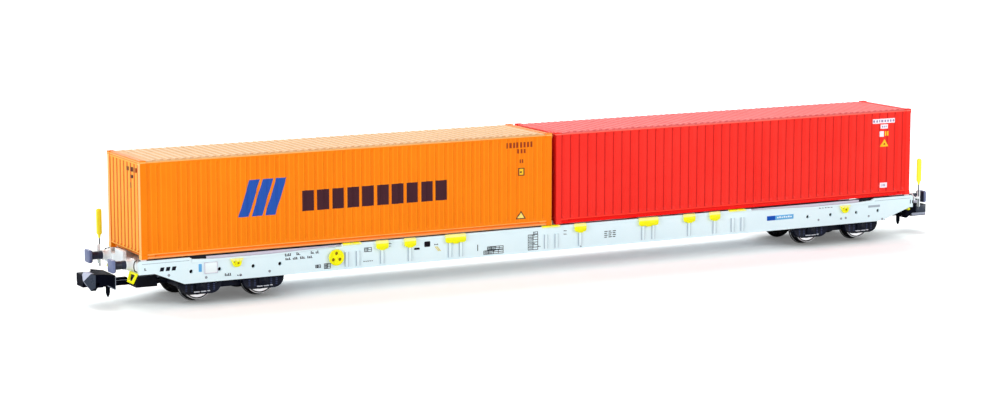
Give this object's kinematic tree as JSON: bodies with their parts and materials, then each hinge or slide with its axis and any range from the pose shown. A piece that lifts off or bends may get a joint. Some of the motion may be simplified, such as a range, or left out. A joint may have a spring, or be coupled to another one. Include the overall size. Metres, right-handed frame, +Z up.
{
  "type": "model container flat wagon with two containers",
  "caption": "Small-scale model of a bogie flat wagon with an orange and a red long container, turning bogies, wheelsets and swinging end couplers",
  "frame": {"origin": "on the rail tops under the middle of the wagon", "axes": "+X along the wagon towards the red container, +Y across it, +Z up"},
  "size_m": [0.168, 0.0168, 0.0243],
  "materials": {
    "frame_grey": "satin light blue-grey plastic",
    "fittings_yellow": "yellow painted plastic",
    "screw_steel": "plain turned steel",
    "socket_grey": "warm grey plastic",
    "buffer_black": "dark plastic",
    "bogie_black": "black moulded plastic",
    "coupler_black": "black moulded plastic",
    "wheel_metal": "darkened wheels with bright treads",
    "container_orange": "orange satin plastic",
    "container_red": "red satin plastic"
  },
  "bodies": {
    "wagon_frame": {"body_bolsters": "frame_grey", "bogie_decks": "frame_grey", "brake_shaft": "screw_steel", "buffer_sockets": "socket_grey", "buffers": "buffer_black", "centre_girder": "frame_grey", "container_locks_left": "fittings_yellow", "container_locks_right": "fittings_yellow", "corner_steps": "fittings_yellow", "cross_beams": "frame_grey", "hand_wheels": "fittings_yellow", "headstock_front": "frame_grey", "headstock_rear": "frame_grey", "label_boxes": "frame_grey", "lashing_brackets": "fittings_yellow", "pivot_screws": "screw_steel", "shunter_handles": "fittings_yellow", "side_sill_left": "frame_grey", "side_sill_right": "frame_grey", "sill_flanges": "frame_grey"},
    "bogie_front": {"bogie_frame_front": "bogie_black", "spring_cases_front": "bogie_black", "coupler_pocket_front": "bogie_black"},
    "bogie_rear": {"bogie_frame_rear": "bogie_black", "spring_cases_rear": "bogie_black", "coupler_pocket_rear": "bogie_black"},
    "wheelset_1": {"wheels_1": "wheel_metal", "axle_1": "screw_steel"},
    "wheelset_2": {"wheels_2": "wheel_metal", "axle_2": "screw_steel"},
    "wheelset_3": {"wheels_3": "wheel_metal", "axle_3": "screw_steel"},
    "wheelset_4": {"wheels_4": "wheel_metal", "axle_4": "screw_steel"},
    "coupler_head_front": {"coupler_front": "coupler_black"},
    "coupler_head_rear": {"coupler_rear": "coupler_black"},
    "container_orange": {"container_orange_base": "container_orange", "container_orange_corners": "container_orange", "container_orange_doors": "container_orange", "container_orange_front_wall": "container_orange", "container_orange_left_wall": "container_orange", "container_orange_lock_rods": "container_orange", "container_orange_right_wall": "container_orange", "container_orange_roof": "container_orange", "container_orange_top_rails": "container_orange"},
    "container_red": {"container_red_base": "container_red", "container_red_corners": "container_red", "container_red_doors": "container_red", "container_red_front_wall": "container_red", "container_red_left_wall": "container_red", "container_red_lock_rods": "container_red", "container_red_right_wall": "container_red", "container_red_roof": "container_red", "container_red_top_rails": "container_red"}
  },
  "joints": [
    {"name": "bogie_front_pivot", "type": "hinge", "parent": "wagon_frame", "child": "bogie_front", "pos_m": [0.0605, 0, 0.0035], "axis": [0, 0, 1], "range_deg": [-8, 8]},
    {"name": "bogie_rear_pivot", "type": "hinge", "parent": "wagon_frame", "child": "bogie_rear", "pos_m": [-0.0605, 0, 0.0035], "axis": [0, 0, 1], "range_deg": [-8, 8]},
    {"name": "wheelset_1_axle", "type": "hinge", "parent": "bogie_rear", "child": "wheelset_1", "pos_m": [-0.0661, 0, 0.00315], "axis": [0, 1, 0], "continuous": true},
    {"name": "wheelset_2_axle", "type": "hinge", "parent": "bogie_rear", "child": "wheelset_2", "pos_m": [-0.0549, 0, 0.00315], "axis": [0, 1, 0], "continuous": true},
    {"name": "wheelset_3_axle", "type": "hinge", "parent": "bogie_front", "child": "wheelset_3", "pos_m": [0.0549, 0, 0.00315], "axis": [0, 1, 0], "continuous": true},
    {"name": "wheelset_4_axle", "type": "hinge", "parent": "bogie_front", "child": "wheelset_4", "pos_m": [0.0661, 0, 0.00315], "axis": [0, 1, 0], "continuous": true},
    {"name": "coupler_front_pivot", "type": "hinge", "parent": "bogie_front", "child": "coupler_head_front", "pos_m": [0.073, 0, 0.00323], "axis": [0, 0, 1], "range_deg": [-5, 5]},
    {"name": "coupler_rear_pivot", "type": "hinge", "parent": "bogie_rear", "child": "coupler_head_rear", "pos_m": [-0.073, 0, 0.00323], "axis": [0, 0, 1], "range_deg": [-5, 5]},
    {"name": "container_orange_lift", "type": "slide", "parent": "wagon_frame", "child": "container_orange", "axis": [0, 0, 1], "range_m": [0, 0.02]},
    {"name": "container_red_lift", "type": "slide", "parent": "wagon_frame", "child": "container_red", "axis": [0, 0, 1], "range_m": [0, 0.02]}
  ]
}
